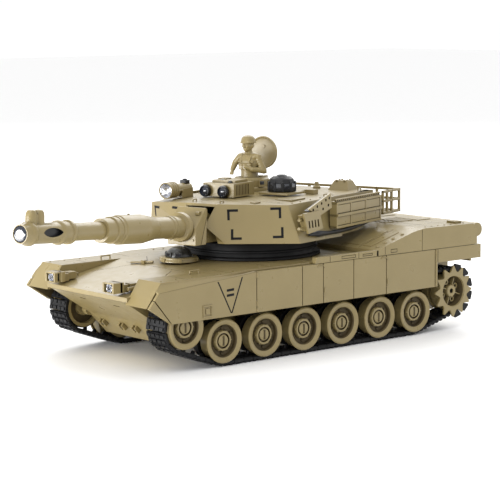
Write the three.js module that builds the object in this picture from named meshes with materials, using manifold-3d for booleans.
// A radio-controlled model tank: hull tub and upper shell, running gear, turret, gun and crew figure.
// Millimetres, +X towards the nose, +Y to the tank's left, +Z up. The tracks stand on z = 0.
// The turret rests turned a little to the left with the gun slightly raised.

import * as THREE from 'three';
import { mergeVertices } from 'three/addons/utils/BufferGeometryUtils.js';
import { ConvexGeometry } from 'three/addons/geometries/ConvexGeometry.js';
import Module from 'manifold-3d';

const wasm = await Module();
wasm.setup();

// ---- driving dimensions -------------------------------------------------------------------------

const GAP = 0.3; // running and fitting clearance
const WALL = 2.2; // moulded wall thickness
const SIDES = [['left', 1], ['right', -1]];

const HULL = {
  noseX: 136, noseTop: 45.7, split: 43, shoulderX: 79, roof: 57.2, rearX: -138,
  tubHalf: 38, belly: 10.6, bellyFront: 94.5, creaseX: 108.5, creaseZ: 25.2, bellyRear: -124,
  sponsonHalf: 62, sponsonFloor: 46.5,
};
const DECK = { startX: -45, kneeX: -78, kneeZ: 69.3, topX: -88, topZ: 70.8, rearZ: 70.5, half: 65 };
const ROLL = { x: -141.3, z: 65.6, radius: 4.7 };
const SKIRT = { inner: 62.3, outer: 65, bottom: 31.1, top: 56.1, rearX: -100.6 };
const FENDER = { tipX: 136.8, tipZ: 41.7, topX: 126, top: 56, inner: 42, thick: 2.2 };

const WHEEL = { radius: 13.5, tread: 12.2, axleZ: 15.7, firstX: 77.9, pitch: 32.32, count: 6 };
const WHEEL_FACE = { inner: 44, flange: 60.6, rim: 61.5, hub: 59.6, dish: 57.4 };
const IDLER = { x: 106.8, z: 26.9, tread: 13.2, rim: 12.6 };
const SPROCKET = {
  x: -119, z: 25.8, drum: 13, root: 13.4, tip: 17.3, teeth: 12, ringIn: 60.6, ringOut: 61.9,
};
const AXLE = { radius: 2.4, end: 58, driveRadius: 1.5 };
const TRACK = { inner: 42, outer: 60.3, thick: 3.2 };

const BATTERY_DOOR = { x0: -20, x1: 44, half: 18, thick: 1.8 };
const SWITCH = { x: -48, y: 14, length: 5, width: 3.4, travel: 3 };

const TURRET = {
  axisX: 6, yaw: THREE.MathUtils.degToRad(17), ringRadius: 45, wireHole: 7, base: 68.2, deck: 94.6,
};
const GUN = { x: 40, z: 78.8, pitch: THREE.MathUtils.degToRad(4.4), slotHalf: 11.1, mantletHalf: 10.5 };
const BARREL = { start: 37.8, muzzle: 189.8, bore: 4.7, sightX: [175, 181.4], sightTop: 13.3 };
const CUPOLA = { x: -38, y: -24, radius: 12, top: 102.4, bore: 8.6 };
const HATCH = { x: -53.6, z: 104.3, radius: 10.9, thick: 1.8, rise: 13.4 };
const SIGHT = {
  x0: -4, x1: 20, y0: -23, y1: 0.5, top: 103.2, lensY: [-6.5, -20.3], lensZ: 98.2, lensR: 3.7,
};
const LAMP = { x: 41, y: -38, z: 98.9, radius: 5.3 };
const BOX = { x0: -72, x1: -14, y0: 51.4, y1: 57, z0: 74.5, z1: 91.2 };
const RACK = { x0: -104, x1: -79.6, half: 54, z0: 77, z1: 93, bar: 2.2 };

const SAND = 0xa99466;
const material = {
  sand: () => new THREE.MeshStandardMaterial({ color: SAND, roughness: 0.55, metalness: 0 }),
  rubber: () => new THREE.MeshStandardMaterial({ color: 0x17171a, roughness: 0.8, metalness: 0 }),
  black: () => new THREE.MeshStandardMaterial({ color: 0x0e0f12, roughness: 0.25, metalness: 0 }),
  steel: () => new THREE.MeshStandardMaterial({ color: 0xa8abae, roughness: 0.3, metalness: 0.9 }),
  board: () => new THREE.MeshStandardMaterial({ color: 0x1d5b34, roughness: 0.5, metalness: 0 }),
  cell: () => new THREE.MeshStandardMaterial({ color: 0x2a4d8f, roughness: 0.4, metalness: 0 }),
};

// ---- geometry helpers ---------------------------------------------------------------------------

function solid(geometry) {
  const bare = geometry.clone();
  bare.deleteAttribute('normal');
  bare.deleteAttribute('uv');
  const merged = mergeVertices(bare, 1e-4);
  const vertProperties = new Float32Array(merged.attributes.position.array);
  const triVerts = new Uint32Array(merged.index.array);
  return new wasm.Manifold(new wasm.Mesh({ numProp: 3, vertProperties, triVerts }));
}

function geometryOf(body) {
  const mesh = body.getMesh();
  const geometry = new THREE.BufferGeometry();
  geometry.setAttribute('position', new THREE.BufferAttribute(mesh.vertProperties, 3));
  geometry.setIndex(new THREE.BufferAttribute(mesh.triVerts, 1));
  return geometry;
}

function joined(...geometries) {
  return geometries.map(solid).reduce((whole, piece) => whole.add(piece));
}

function cut(body, ...geometries) {
  return geometries.map(solid).reduce((rest, tool) => rest.subtract(tool), body);
}

function block(x0, x1, y0, y1, z0, z1) {
  const geometry = new THREE.BoxGeometry(x1 - x0, y1 - y0, z1 - z0);
  return geometry.translate((x0 + x1) / 2, (y0 + y1) / 2, (z0 + z1) / 2);
}

function outline(points) {
  return new THREE.Shape(points.map(([u, v]) => new THREE.Vector2(u, v)));
}

// An outline in the side view (x, z), extruded across the hull from y0 to y1.
function sideExtrusion(shape, y0, y1) {
  const settings = { depth: y1 - y0, bevelEnabled: false, curveSegments: 8 };
  const geometry = new THREE.ExtrudeGeometry(shape, settings);
  return geometry.rotateX(Math.PI / 2).translate(0, y1, 0);
}

function rodX(radius, x0, x1, y, z, segments = 16) {
  const geometry = new THREE.CylinderGeometry(radius, radius, x1 - x0, segments);
  return geometry.rotateZ(-Math.PI / 2).translate((x0 + x1) / 2, y, z);
}

function rodY(radius, y0, y1, x, z, segments = 16) {
  const geometry = new THREE.CylinderGeometry(radius, radius, y1 - y0, segments);
  return geometry.translate(x, (y0 + y1) / 2, z);
}

function rodZ(radius, z0, z1, x, y, segments = 24, topRadius = radius) {
  const geometry = new THREE.CylinderGeometry(topRadius, radius, z1 - z0, segments);
  return geometry.rotateX(Math.PI / 2).translate(x, y, (z0 + z1) / 2);
}

// A body of revolution about +Y. The profile lists [radius, y] from the inner face to the outer one.
function turned(profile, segments) {
  const points = profile.map(([radius, y]) => new THREE.Vector2(radius, y));
  return new THREE.LatheGeometry(points, segments);
}

function hullOf(points) {
  return new ConvexGeometry(points.map(([x, y, z]) => new THREE.Vector3(x, y, z)));
}

function bothSides(points) {
  return points.flatMap(([x, y, z]) => [[x, y, z], [x, -y, z]]);
}

// The same geometry on the tank's other side; the winding is turned so faces still point out.
function mirrored(geometry) {
  const copy = geometry.clone().scale(1, -1, 1);
  if (!copy.index) {
    const count = copy.attributes.position.count;
    copy.setIndex([...Array(count).keys()]);
  }
  const index = copy.index.array;
  for (let i = 0; i < index.length; i += 3) {
    [index[i], index[i + 1]] = [index[i + 1], index[i]];
  }
  return copy;
}

function sided(geometry, sign) {
  return sign > 0 ? geometry : mirrored(geometry);
}

const tank = new THREE.Group();
const turret = new THREE.Group();
const gun = new THREE.Group();
turret.position.x = TURRET.axisX;
turret.rotation.z = TURRET.yaw;
gun.position.set(GUN.x, 0, GUN.z);
gun.rotation.y = -GUN.pitch;
tank.add(turret);
turret.add(gun);

function addPart(group, name, shape, finish) {
  const geometry = shape.isBufferGeometry ? shape : geometryOf(shape);
  const mesh = new THREE.Mesh(geometry, finish());
  mesh.name = name;
  group.add(mesh);
  return mesh;
}

// ---- hull ---------------------------------------------------------------------------------------

function axlePositions() {
  const wheels = Array.from({ length: WHEEL.count }, (_, i) => {
    return [WHEEL.firstX - i * WHEEL.pitch, WHEEL.axleZ];
  });
  return [...wheels, [IDLER.x, IDLER.z]];
}

function makeLowerHull() {
  const top = HULL.split - GAP;
  const outer = outline([
    [HULL.noseX - 0.6, top], [HULL.rearX, top], [HULL.rearX, 24],
    [HULL.bellyRear, HULL.belly], [HULL.bellyFront, HULL.belly], [HULL.creaseX, HULL.creaseZ],
  ]);
  const inner = outline([
    [HULL.noseX - 6.5, top + 1], [HULL.rearX + WALL, top + 1], [HULL.rearX + WALL, 25],
    [HULL.bellyRear + 1, HULL.belly + WALL], [HULL.bellyFront - 1, HULL.belly + WALL],
    [HULL.creaseX - 2.6, HULL.creaseZ + 1],
  ]);
  const half = HULL.tubHalf;
  let tub = solid(sideExtrusion(outer, -half, half));
  tub = cut(tub, sideExtrusion(inner, -half + WALL, half - WALL));
  for (const [, sign] of SIDES) {
    for (const [x, z] of axlePositions()) {
      tub = tub.add(solid(sided(rodY(AXLE.radius, half - 1, AXLE.end, x, z, 10), sign)));
      tub = tub.add(solid(sided(rodY(AXLE.radius + 2, half - 1, half + 3, x, z, 10), sign)));
    }
    const driveHole = rodY(AXLE.driveRadius + GAP, half - 6, half + 6, SPROCKET.x, SPROCKET.z, 12);
    tub = cut(tub, sided(driveHole, sign));
  }
  const door = BATTERY_DOOR;
  const slot = SWITCH;
  return cut(
    tub,
    block(door.x0, door.x1, -door.half, door.half, 0, 20),
    block(
      slot.x - GAP, slot.x + slot.length + slot.travel + GAP,
      slot.y - GAP, slot.y + slot.width + GAP, 0, 20,
    ),
  );
}

function fenderPlate(sign) {
  const { tipX, tipZ, topX, top, inner, thick } = FENDER;
  const shape = outline([
    [HULL.shoulderX - 20, top], [HULL.shoulderX - 20, top - thick], [topX - 1.2, top - thick],
    [tipX - 2.8, tipZ], [tipX, tipZ], [topX, top],
  ]);
  return sided(sideExtrusion(shape, inner - 1, HULL.sponsonHalf), sign);
}

function fenderInnerWall(sign) {
  const { tipX, tipZ, topX, top, inner } = FENDER;
  const shape = outline([[HULL.shoulderX, top - 1], [HULL.shoulderX, 46.6], [tipX - 1, tipZ], [topX, top]]);
  return sided(sideExtrusion(shape, inner - 1.8, inner + 0.2), sign);
}

function makeUpperHull() {
  const { noseX, noseTop, split, shoulderX, roof, rearX, sponsonHalf, sponsonFloor, tubHalf } = HULL;
  const centre = outline([
    [noseX, split], [noseX, noseTop], [shoulderX, 56.2], [60, roof], [rearX, roof], [rearX, split],
  ]);
  const sponson = outline([
    [shoulderX, sponsonFloor], [shoulderX, 56], [60, roof], [rearX, roof], [rearX, sponsonFloor],
  ]);
  const deck = outline([
    [DECK.startX, SKIRT.top + GAP], [DECK.startX, 60], [DECK.kneeX, DECK.kneeZ], [DECK.topX, DECK.topZ],
    [rearX + 4, DECK.rearZ], [rearX, DECK.rearZ - 4], [rearX, SKIRT.top + GAP],
  ]);
  const tail = block(-141.7, SKIRT.rearX - GAP, -SKIRT.outer, SKIRT.outer, 47, SKIRT.top);
  let shell = joined(
    sideExtrusion(centre, -FENDER.inner, FENDER.inner),
    sideExtrusion(sponson, -sponsonHalf, sponsonHalf),
    sideExtrusion(deck, -DECK.half, DECK.half),
    tail,
    fenderPlate(1), fenderPlate(-1), fenderInnerWall(1), fenderInnerWall(-1),
    rodY(ROLL.radius, -sponsonHalf, sponsonHalf, ROLL.x, ROLL.z, 16),
  );
  const cavity = outline([
    [100, split - 1], [100, 50], [60, roof - WALL], [DECK.startX - 4, roof - WALL], [DECK.kneeX, 66.5],
    [rearX + WALL + 2, 67.5], [rearX + WALL + 2, split - 1],
  ]);
  shell = cut(shell, sideExtrusion(cavity, -tubHalf + WALL, tubHalf - WALL));
  shell = cut(shell, rodZ(TURRET.wireHole, 50, 60, TURRET.axisX, 0, 16));
  return shell;
}

function makeSkirt(sign) {
  const shape = outline([
    [SKIRT.rearX, SKIRT.bottom], [120.5, SKIRT.bottom], [FENDER.tipX, FENDER.tipZ], [129.7, 50.3],
    [55.5, SKIRT.top], [SKIRT.rearX, SKIRT.top],
  ]);
  return sided(sideExtrusion(shape, SKIRT.inner, SKIRT.outer), sign);
}

function makeRearPanel() {
  const face = HULL.rearX - GAP;
  let panel = joined(
    block(face - 1.8, face, -58, 58, 44, 46.7),
    block(face - 1.8, face, -36, 36, 27, 46.7),
  );
  for (let z = 30; z < 43; z += 3) {
    panel = cut(panel, block(face - 2.4, face - 0.9, -20, 20, z, z + 1.5));
  }
  return panel;
}

function makeHeadlight(sign) {
  const housing = joined(block(127, 141.6, 25, 36, 47.8, 54.2), block(123.5, 128, 28, 34, 48.6, 52.6));
  const hollow = rodX(2.7, 139, 143, 30.2, 50.4, 16);
  return sided(geometryOf(cut(housing, hollow, block(120, 137, 20, 40, 40, 49.2))), sign);
}

function makeDriverHatch() {
  return joined(
    rodZ(12, 57.5, 60.4, 66, 2, 24),
    rodZ(8, 60.2, 64.4, 66, 2, 20, 6.6),
    rodZ(6.6, 64.3, 66.6, 66, 2, 20, 3),
  );
}

function makeTurretRing() {
  const collar = rodZ(TURRET.ringRadius, HULL.roof + GAP, TURRET.base - GAP, TURRET.axisX, 0, 36);
  const bore = rodZ(TURRET.wireHole, HULL.roof - 2, TURRET.base + 2, TURRET.axisX, 0, 16);
  return cut(solid(collar), bore);
}

// ---- running gear -------------------------------------------------------------------------------

function makeRoadWheel(tread, rim) {
  const { inner, flange, rim: face, hub, dish } = WHEEL_FACE;
  const bore = AXLE.radius + GAP;
  return turned([
    [0, AXLE.end + GAP], [bore, AXLE.end + GAP], [bore, inner], [tread, inner], [tread, flange - 0.4],
    [rim, flange], [rim, face], [rim - 3, face], [rim - 4.8, dish], [5.2, dish], [5, hub], [0, hub],
  ], 16);
}

function sprocketRing() {
  const { root, tip, teeth, ringIn, ringOut } = SPROCKET;
  const points = [];
  for (let i = 0; i < teeth; i += 1) {
    const mid = (i * 2 * Math.PI) / teeth;
    const half = Math.PI / teeth;
    for (const [turn, radius] of [[-0.52, root], [-0.16, tip], [0.16, tip], [0.52, root]]) {
      points.push([radius * Math.cos(mid + turn * half), radius * Math.sin(mid + turn * half)]);
    }
  }
  return sideExtrusion(outline(points), ringIn, ringOut);
}

function makeSprocket() {
  const { drum, ringOut } = SPROCKET;
  const bore = AXLE.driveRadius + GAP;
  const body = joined(
    rodY(drum, WHEEL_FACE.inner, SPROCKET.ringIn + 0.2, 0, 0, 24),
    sprocketRing(),
  );
  return cut(
    body,
    rodY(9.6, 55.5, ringOut + 1, 0, 0, 24),
    rodY(bore, WHEEL_FACE.inner - 1, 53, 0, 0, 12),
  );
}

// A loop of belt round the given circles, all of them grown by `grow`.
function beltOutline(circles, grow, Kind) {
  const path = new Kind();
  const count = circles.length;
  const bearing = (a, b) => {
    const dx = b.x - a.x;
    const dz = b.z - a.z;
    return Math.atan2(dz, dx) - Math.acos((a.r - b.r) / Math.hypot(dx, dz));
  };
  for (let i = 0; i < count; i += 1) {
    const here = circles[i];
    const enter = bearing(circles[(i + count - 1) % count], here);
    let leave = bearing(here, circles[(i + 1) % count]);
    while (leave < enter) {
      leave += 2 * Math.PI;
    }
    path.absarc(here.x, here.z, here.r + grow, enter, leave, false);
  }
  path.closePath();
  return path;
}

function makeTrack() {
  const circles = [
    { x: WHEEL.firstX - 5 * WHEEL.pitch, z: WHEEL.axleZ, r: WHEEL.tread },
    { x: WHEEL.firstX, z: WHEEL.axleZ, r: WHEEL.tread },
    { x: IDLER.x, z: IDLER.z, r: IDLER.tread },
    { x: SPROCKET.x, z: SPROCKET.z, r: SPROCKET.drum },
  ];
  const loop = beltOutline(circles, GAP + TRACK.thick, THREE.Shape);
  loop.holes.push(beltOutline(circles, GAP, THREE.Path));
  return sideExtrusion(loop, TRACK.inner, TRACK.outer);
}

function addRunningGear() {
  for (const [side, sign] of SIDES) {
    addPart(tank, `track_${side}`, sided(makeTrack(), sign), material.rubber);
    for (let i = 0; i < WHEEL.count; i += 1) {
      const wheel = addPart(tank, `wheel_${side}_${i + 1}`,
        sided(makeRoadWheel(WHEEL.tread, WHEEL.radius), sign), material.sand);
      wheel.position.set(WHEEL.firstX - i * WHEEL.pitch, 0, WHEEL.axleZ);
    }
    const idler = addPart(tank, `idler_${side}`,
      sided(makeRoadWheel(IDLER.tread, IDLER.rim), sign), material.sand);
    idler.position.set(IDLER.x, 0, IDLER.z);
    const sprocket = addPart(tank, `sprocket_${side}`,
      sided(geometryOf(makeSprocket()), sign), material.sand);
    sprocket.position.set(SPROCKET.x, 0, SPROCKET.z);
    const shaft = rodY(AXLE.driveRadius, 27, 52.6, SPROCKET.x, SPROCKET.z, 12);
    addPart(tank, `drive_axle_${side}`, sided(shaft, sign), material.steel);
  }
}

// ---- inside the hull ----------------------------------------------------------------------------

function addInsides() {
  const door = BATTERY_DOOR;
  const doorTop = HULL.belly + door.thick;
  const plate = block(door.x0 + GAP, door.x1 - GAP, -door.half + GAP, door.half - GAP, HULL.belly, doorTop);
  addPart(tank, 'battery_door', cut(solid(plate), rodZ(1.3, 8, 14, door.x0 + 5, 0, 12)), material.sand);
  addPart(tank, 'battery_door_screw', joined(
    rodZ(1, HULL.belly - 0.5, HULL.belly + 2.6, door.x0 + 5, 0, 12),
    rodZ(2, HULL.belly - 1, HULL.belly - GAP, door.x0 + 5, 0, 12),
  ), material.steel);
  addPart(tank, 'battery_pack', block(-12, 42, -15, 15, 13.4, 30), material.cell);
  addPart(tank, 'circuit_board', block(-28, 44, -24, 24, 33.5, 35.1), material.board);
  addPart(tank, 'speaker', rodZ(14, 26, 34, 72, 0, 24), material.black);
  const slot = SWITCH;
  addPart(tank, 'power_switch',
    block(slot.x, slot.x + slot.length, slot.y, slot.y + slot.width, 9.8, 14), material.black);
  for (const [side, sign] of SIDES) {
    const gearbox = cut(
      solid(block(-130, -98, 5, 34.5, 20, 40)),
      rodY(AXLE.driveRadius + GAP, 20, 40, SPROCKET.x, SPROCKET.z, 12),
    );
    addPart(tank, `gearbox_${side}`, sided(geometryOf(gearbox), sign), material.black);
    addPart(tank, `motor_${side}`, sided(rodX(9, -97.6, -68, 20, 26, 20), sign), material.steel);
  }
}

// ---- turret -------------------------------------------------------------------------------------

function makeTurretShell() {
  const front = hullOf([
    [26.7, 45.4, 92.8], [23.4, 52.4, 68.8], [42.8, -47.5, 91.6], [38, -52.4, 68.8],
    ...bothSides([
      [55.7, 11.4, 94.2], [60, 11.4, 81], [54, 16.5, 69.6], [-28, 46.4, 93.4], [-28, 52.6, TURRET.base],
    ]),
  ]);
  const bustle = hullOf(bothSides([
    [-20, 46.4, 93.4], [-20, 50, TURRET.base], [-55, 48.6, 69], [-79, 46.6, 74], [-79, 46.6, 93.4],
  ]));
  const hump = hullOf([
    [-64, 20, 93], [-78, 20, 93], [-64, 36, 93], [-78, 36, 93],
    [-68, 23, 99.6], [-75, 23, 99.6], [-68, 33, 99.6], [-75, 33, 99.6],
  ]);
  const body = joined(front, bustle, hump);
  return cut(
    body,
    block(-48, 34, -36, 36, 60, 90.6),
    block(30, 80, -GUN.slotHalf, GUN.slotHalf, 60, 92.6),
  );
}

function makeTurretBase() {
  const plate = solid(block(-47.6, 30, -35.6, 35.6, 69, 71));
  return cut(plate, rodZ(6, 60, 80, 0, 0, 20));
}

function makeSightBox() {
  const { x0, x1, y0, y1, top, lensY, lensZ, lensR } = SIGHT;
  const floor = TURRET.deck;
  const sockets = lensY.map((y) => rodX(lensR - 0.6, x1 - 2, x1 + 1, y, lensZ, 16));
  return cut(
    joined(block(x0, x1, y0, y1, floor, top), block(x0 + 3, x1 - 6, y0 + 3, y1 - 3, top - 0.5, top + 1.6)),
    ...sockets,
  );
}

function addSightLenses() {
  const { x1, lensY, lensZ, lensR } = SIGHT;
  const names = ['sight_lens_left', 'sight_lens_right'];
  lensY.forEach((y, i) => {
    const lens = joined(
      rodX(lensR - 0.9, x1 - 1.7, x1 + 0.5, y, lensZ, 16),
      rodX(lensR, x1 + GAP, x1 + 3.4, y, lensZ, 16),
    );
    addPart(turret, names[i], lens, material.black);
  });
}

function makeReceiverDome() {
  const top = TURRET.deck + 1.8;
  return joined(
    rodZ(9, top, top + 7, -17, 13.5, 10, 8.4),
    rodZ(8.4, top + 6.9, top + 10, -17, 13.5, 10, 4),
  );
}

function makeDomePlinth() {
  return block(-28, -6, 2.5, 24.5, TURRET.deck, TURRET.deck + 1.5);
}

function makeCupola() {
  const { x, y, radius, top, bore } = CUPOLA;
  return cut(
    joined(rodZ(radius, TURRET.deck, top, x, y, 24), block(-54.6, x - 8, y - 3, y + 3, top - 4, top)),
    rodZ(bore, top - 5, top + 2, x, y, 24),
  );
}

function makeCommander() {
  const { x, y, top } = CUPOLA;
  const ball = (rx, ry, rz, px, py, pz) => {
    return new THREE.SphereGeometry(1, 10, 6).rotateX(Math.PI / 2).scale(rx, ry, rz).translate(px, py, pz);
  };
  return joined(
    rodZ(6.4, top - 4.6, top + 6, x + 1.6, y, 14),
    ball(5.4, 8.2, 8.6, x + 2.6, y, top + 9),
    ball(2.4, 2.4, 4, x + 3, y, top + 17),
    ball(4.6, 4.4, 5, x + 3.8, y, top + 22),
    ball(5.2, 5, 3.8, x + 3.4, y, top + 24.4),
    ball(3, 2.6, 6.4, x + 3.6, y + 7.6, top + 8.4),
    ball(3, 2.6, 6.4, x + 3.6, y - 7.6, top + 8.4),
    ball(5.6, 2.4, 2.4, x + 7.2, y + 7.2, top + 4.6),
    ball(5.6, 2.4, 2.4, x + 7.2, y - 7.2, top + 4.6),
  );
}

function makeCommanderHatch() {
  const { x, z, radius, thick, rise } = HATCH;
  const lug = 2.2;
  return joined(
    rodX(radius, x - thick / 2, x + thick / 2, CUPOLA.y, z + rise, 28),
    block(x - thick / 2, x + thick / 2, CUPOLA.y - lug, CUPOLA.y + lug, z - 1.2, z + rise - radius + 1),
  );
}

function makeSearchlight() {
  const { x, y, z, radius } = LAMP;
  const body = joined(
    rodX(radius, x - 11, x, y, z, 20),
    rodX(4, x - 26, x - 10, y, z, 14),
    block(x - 26, x - 13, y - 4, y + 4, 94.7, z),
    rodZ(2.4, z, z + 5.2, x - 22, y, 10),
  );
  return cut(body, rodX(radius - 1, x - 2.5, x + 1, y, z, 20));
}

function makeStowageBox(sign) {
  const { x0, x1, y0, y1, z0, z1 } = BOX;
  const body = joined(
    block(x0, x1, y0, y1, z0, z1),
    block(x0, x1, y1 - 0.5, y1 + 0.8, (z0 + z1) / 2 - 0.6, (z0 + z1) / 2 + 0.6),
    block(x0, x1, y0, y1 - 1, z1 - 0.5, z1 + 1.4),
  );
  return sided(geometryOf(body), sign);
}

function makeRack() {
  const { x0, x1, half, z0, z1, bar } = RACK;
  const mid = (z0 + z1) / 2;
  const pieces = [block(x0, x1, -half, half, z0, z0 + 1.6)];
  for (const z of [mid, z1 - bar]) {
    pieces.push(block(x0, x0 + bar, -half, half, z, z + bar));
    for (const y of [-half, half - bar]) {
      pieces.push(block(x0, x1, y, y + bar, z, z + bar));
    }
  }
  for (const y of [-half, half - bar]) {
    for (const x of [x1 - bar, (x0 + x1) / 2, x0]) {
      pieces.push(block(x, x + bar, y, y + bar, z0, z1));
    }
  }
  for (let y = -36; y <= 36; y += 18) {
    pieces.push(block(x0, x0 + bar, y - bar / 2, y + bar / 2, z0, z1));
  }
  pieces.push(block(x1 - 4, x1, -10, 10, z0, z0 + 8));
  return joined(...pieces);
}

function makeLauncher(sign) {
  const body = joined(
    block(9, 23, 54.6, 57.4, 77, 87),
    block(-7, 11, 53.4, 56.2, 86, 96.4),
    block(6, 12, 53.4, 57, 80, 90),
  );
  return sided(geometryOf(body), sign);
}

function addTurret() {
  addPart(turret, 'turret_shell', makeTurretShell(), material.sand);
  addPart(turret, 'turret_base', makeTurretBase(), material.black);
  addPart(turret, 'turret_motor', rodZ(7, 71.4, 88, -20, 16, 16), material.steel);
  addPart(turret, 'sight_box', makeSightBox(), material.sand);
  addSightLenses();
  addPart(turret, 'dome_plinth', makeDomePlinth(), material.sand);
  addPart(turret, 'receiver_dome', makeReceiverDome(), material.black);
  addPart(turret, 'cupola', makeCupola(), material.sand);
  addPart(turret, 'commander_figure', makeCommander(), material.sand);
  addPart(turret, 'commander_hatch', makeCommanderHatch(), material.sand);
  addPart(turret, 'searchlight', makeSearchlight(), material.sand);
  addPart(turret, 'bustle_rack', makeRack(), material.sand);
  for (const [side, sign] of SIDES) {
    addPart(turret, `stowage_box_${side}`, makeStowageBox(sign), material.sand);
    addPart(turret, `launcher_${side}`, makeLauncher(sign), material.sand);
  }
}

// ---- gun ----------------------------------------------------------------------------------------

function makeMantlet() {
  const shape = outline([
    [27, 12.2], [14.6, 7.6], [-3.6, 5.5], [-6.5, -6.3], [5.3, -9.4], [36.6, -11.1], [37.4, -0.4],
  ]);
  const bore = rodX(5, 18, 40, 0, 0, 16);
  return cut(solid(sideExtrusion(shape, -GUN.mantletHalf, GUN.mantletHalf)), bore);
}

function makeBarrel() {
  const { start, muzzle, bore, sightX, sightTop } = BARREL;
  const profile = [
    [0, 20], [4.6, 20], [4.6, start], [9.2, start], [8.6, 41], [6.6, 41.4], [6.6, 68], [8.7, 79.5],
    [8.7, 103.4], [8.1, 103.6], [7.2, 110.6], [7.2, 119], [5.2, 119.6], [5.2, 145], [7, 148],
    [7, 158.4], [5.9, 161], [5.9, 181], [6.9, 183], [5.5, muzzle], [bore, muzzle],
    [bore, muzzle - 2.4], [0, muzzle - 2.4],
  ];
  const barrel = turned(profile, 16).rotateZ(-Math.PI / 2);
  const posts = sightX.map((x) => rodZ(2.9, 4, sightTop, x, 0, 12));
  return joined(barrel, ...posts, block(sightX[0], sightX[1], -2, 2, 4, sightTop - 3));
}

function addGun() {
  addPart(gun, 'mantlet', makeMantlet(), material.sand);
  addPart(gun, 'gun_barrel', makeBarrel(), material.sand);
  addPart(gun, 'muzzle_emitter', rodX(BARREL.bore - GAP, BARREL.muzzle - 2, BARREL.muzzle + 0.2, 0, 0, 16),
    material.black);
}

// ---- assembly -----------------------------------------------------------------------------------

addPart(tank, 'hull_lower', makeLowerHull(), material.sand);
addPart(tank, 'hull_upper', makeUpperHull(), material.sand);
addPart(tank, 'rear_panel', makeRearPanel(), material.sand);
addPart(tank, 'driver_hatch', makeDriverHatch(), material.black);
addPart(tank, 'turret_ring', makeTurretRing(), material.black);
for (const [side, sign] of SIDES) {
  addPart(tank, `skirt_${side}`, makeSkirt(sign), material.sand);
  addPart(tank, `headlight_${side}`, makeHeadlight(sign), material.sand);
}
addRunningGear();
addInsides();
addTurret();
addGun();

// The origin is the middle of the whole model's footprint, at the ground.
tank.updateMatrixWorld(true);
const extent = new THREE.Box3().setFromObject(tank, true);
const middle = extent.getCenter(new THREE.Vector3());
tank.position.set(-middle.x, -middle.y, -extent.min.z);

export default tank;
